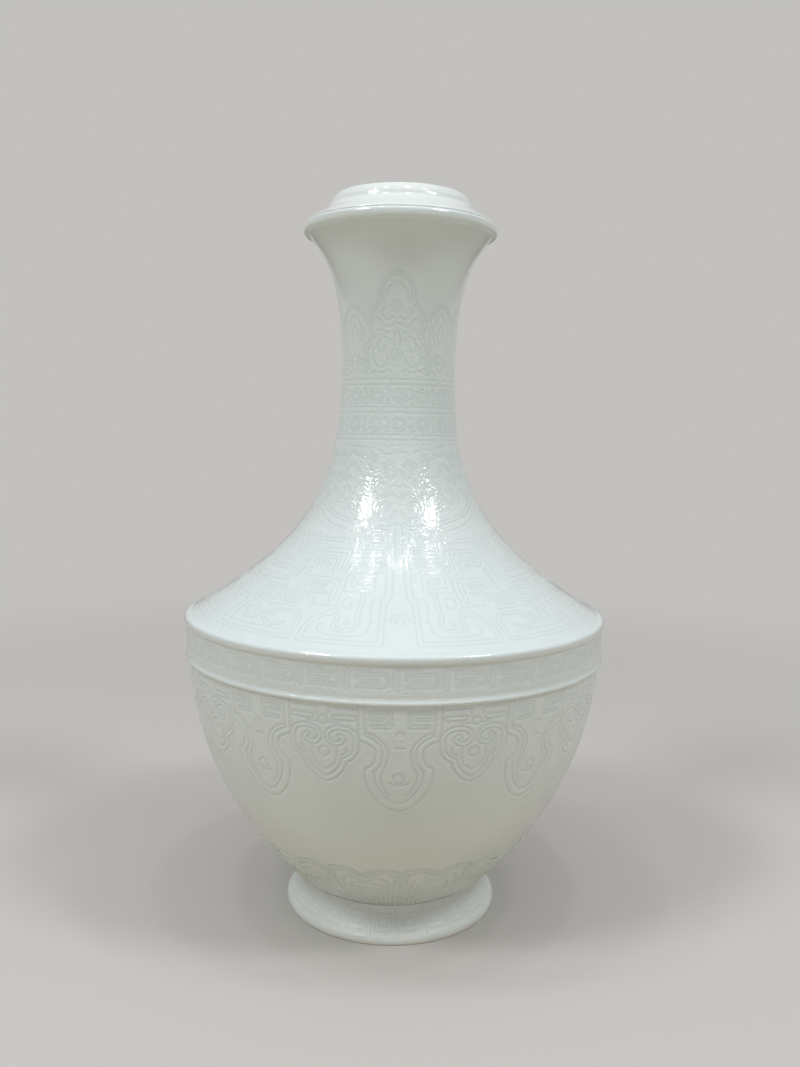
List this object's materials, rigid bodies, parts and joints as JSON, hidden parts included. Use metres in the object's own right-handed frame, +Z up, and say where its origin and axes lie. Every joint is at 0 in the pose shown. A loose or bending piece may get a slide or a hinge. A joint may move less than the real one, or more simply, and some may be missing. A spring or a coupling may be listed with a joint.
{
  "type": "covered vase",
  "caption": "Covered porcelain altar vase: flared foot, round belly, ribbed girdle, sloping carved shoulder, tall trumpet neck with rolled lip, and a low lift-off cover with a ring grip.",
  "frame": {"origin": "centre of the foot's resting plane", "axes": "+Z up along the turning axis, through the mouth; the pictured side faces -Y"},
  "size_m": [0.1564, 0.1564, 0.2646],
  "materials": {
    "vase_glaze": "opaque bluish-white glazed porcelain, glossy",
    "cover_glaze": "opaque bluish-white glazed porcelain, glossy"
  },
  "bodies": {
    "vase": {"foot_ring": "vase_glaze", "lower_body": "vase_glaze", "girdle": "vase_glaze", "shoulder": "vase_glaze", "neck": "vase_glaze", "mouth_lip": "vase_glaze"},
    "cover": {"cover_dome": "cover_glaze", "cover_ring_grip": "cover_glaze", "cover_locating_flange": "cover_glaze"}
  },
  "joints": [
    {"name": "cover_lift", "type": "slide", "parent": "vase", "child": "cover", "axis": [0, 0, 1], "range_m": [0, 0.05]}
  ]
}
